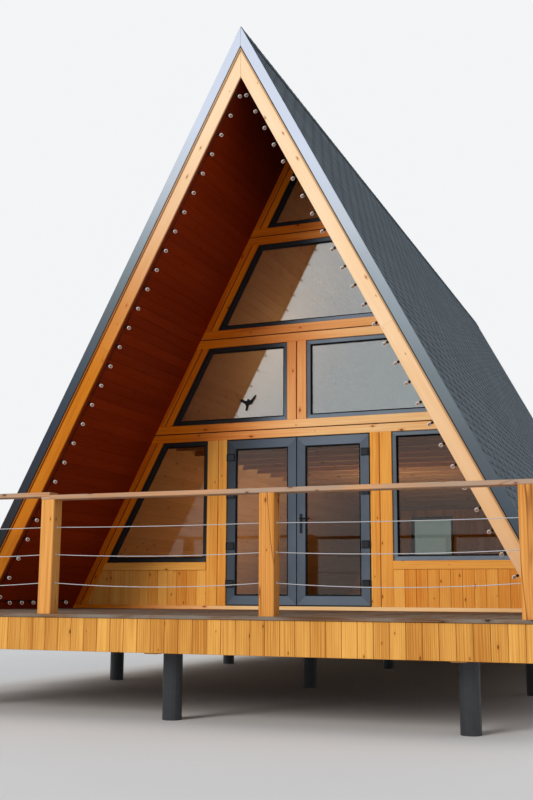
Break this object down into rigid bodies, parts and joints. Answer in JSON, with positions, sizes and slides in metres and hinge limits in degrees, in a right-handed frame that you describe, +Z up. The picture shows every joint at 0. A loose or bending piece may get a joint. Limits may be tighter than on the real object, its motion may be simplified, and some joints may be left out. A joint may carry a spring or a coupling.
{
  "type": "a-frame cabin",
  "caption": "A-frame cabin on piles, with a steep shingled roof down to the floor, a glazed timber gable, hinged double doors and a railed front deck.",
  "frame": {"origin": "on the ground, under the middle of the cabin's overall length and on the ridge line", "axes": "+Z up, +Y from the deck towards the back of the cabin, +X to the right seen from the deck"},
  "size_m": [7.358, 16.79, 7.6965],
  "materials": {
    "shingles": "matte mineral-faced bitumen",
    "metal_trim": "satin paint",
    "roof_panel": "sawn",
    "ceiling_timber": "stained",
    "pile_steel": "matte paint",
    "frame_timber": "sawn",
    "deck_timber": "weathered",
    "floor_timber": "oiled",
    "handrail_timber": "weathered",
    "post_timber": "stained",
    "cable": "galvanised",
    "glass": "clear",
    "bulb_glass": "clear",
    "black_plastic": "matte",
    "cladding_timber": "stained",
    "window_frame": "satin foil",
    "door_frame": "satin foil",
    "door_fittings": "satin paint",
    "barge_timber": "stained",
    "gable_timber": "stained"
  },
  "bodies": {
    "cabin": {"barge_board_front_left": "barge_timber", "barge_board_front_right": "barge_timber", "barge_board_rear": "barge_timber", "cables_front": "cable", "cables_side": "cable", "ceiling_boards_left": "ceiling_timber", "ceiling_boards_right": "ceiling_timber", "centre_stud": "gable_timber", "deck_boards": "deck_timber", "deck_fascia_front": "cladding_timber", "deck_fascia_sides": "cladding_timber", "deck_frame": "frame_timber", "door_frame": "door_frame", "door_hinge_brackets": "door_fittings", "door_posts": "gable_timber", "floor_frame": "frame_timber", "gable_beam_lower": "gable_timber", "gable_beam_middle": "gable_timber", "gable_beam_upper": "gable_timber", "gable_glass": "glass", "gable_rake_left": "gable_timber", "gable_rake_right": "gable_timber", "gable_sill": "gable_timber", "handrail_front": "handrail_timber", "handrail_front_left": "handrail_timber", "handrails_side": "handrail_timber", "house_floor": "floor_timber", "loft_floor": "floor_timber", "piles": "pile_steel", "rail_posts": "post_timber", "rear_glass": "glass", "rear_wall_lower": "cladding_timber", "rear_wall_upper": "cladding_timber", "rear_windows": "window_frame", "ridge_cap": "metal_trim", "roof_covering_left": "shingles", "roof_covering_right": "shingles", "roof_panel_left": "roof_panel", "roof_panel_right": "roof_panel", "string_bulbs": "bulb_glass", "string_lights": "black_plastic", "verge_trim_front_left": "metal_trim", "verge_trim_front_right": "metal_trim", "verge_trim_rear": "metal_trim", "window_aprons": "cladding_timber", "window_peak": "window_frame", "window_upper": "window_frame", "windows_low": "window_frame", "windows_mid": "window_frame"},
    "left_leaf": {"door_leaf_left": "door_frame", "door_glass_left": "glass", "door_hinges_left": "door_fittings"},
    "right_leaf": {"door_leaf_right": "door_frame", "door_glass_right": "glass", "door_hinges_right": "door_fittings", "door_handle": "door_fittings"}
  },
  "joints": [
    {"name": "left_leaf_hinge", "type": "hinge", "parent": "cabin", "child": "left_leaf", "pos_m": [-0.947, -4.538, 0.995], "axis": [0, 0, -1], "range_deg": [0, 100]},
    {"name": "right_leaf_hinge", "type": "hinge", "parent": "cabin", "child": "right_leaf", "pos_m": [0.947, -4.538, 0.995], "axis": [0, 0, 1], "range_deg": [0, 100]}
  ]
}
